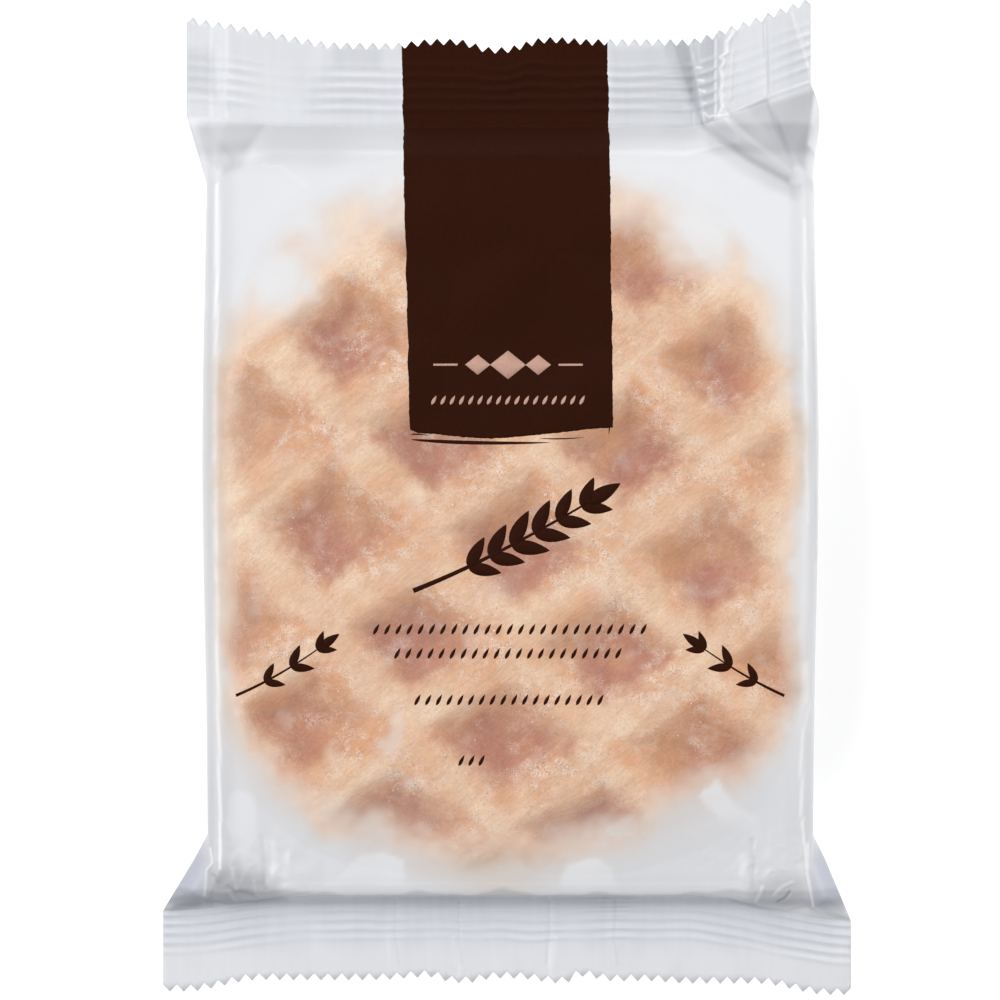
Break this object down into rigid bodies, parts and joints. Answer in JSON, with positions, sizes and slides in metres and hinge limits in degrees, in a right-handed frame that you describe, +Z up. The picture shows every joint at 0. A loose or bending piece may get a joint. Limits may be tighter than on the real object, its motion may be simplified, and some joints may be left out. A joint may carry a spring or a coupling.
{
  "type": "wrapped belgian waffle",
  "caption": "Oval belgian waffle sealed in a translucent flow-wrap film pack with crimped, zigzag-cut end seals, lying on its back.",
  "frame": {"origin": "centre of the underside of the bounding box, on the surface that the pack lies on", "axes": "+Z up out of the shown face, +Y along the pack towards the end seal with the lifted corner, +X to the right of the shown face"},
  "size_m": [0.1308, 0.1888, 0.0176],
  "materials": {
    "translucent_film": "frosted translucent film, satin, clear where it touches the waffle and milky where it stands off",
    "baked_dough": "browned sugar waffle inside the film, rough and matte, with pearl sugar; shown by the dressed model alone",
    "printed_ink": "dark brown ink printed on the film, semi-matte; shown by the dressed model alone"
  },
  "bodies": {
    "root": {"waffle_pack": "translucent_film"}
  },
  "joints": []
}
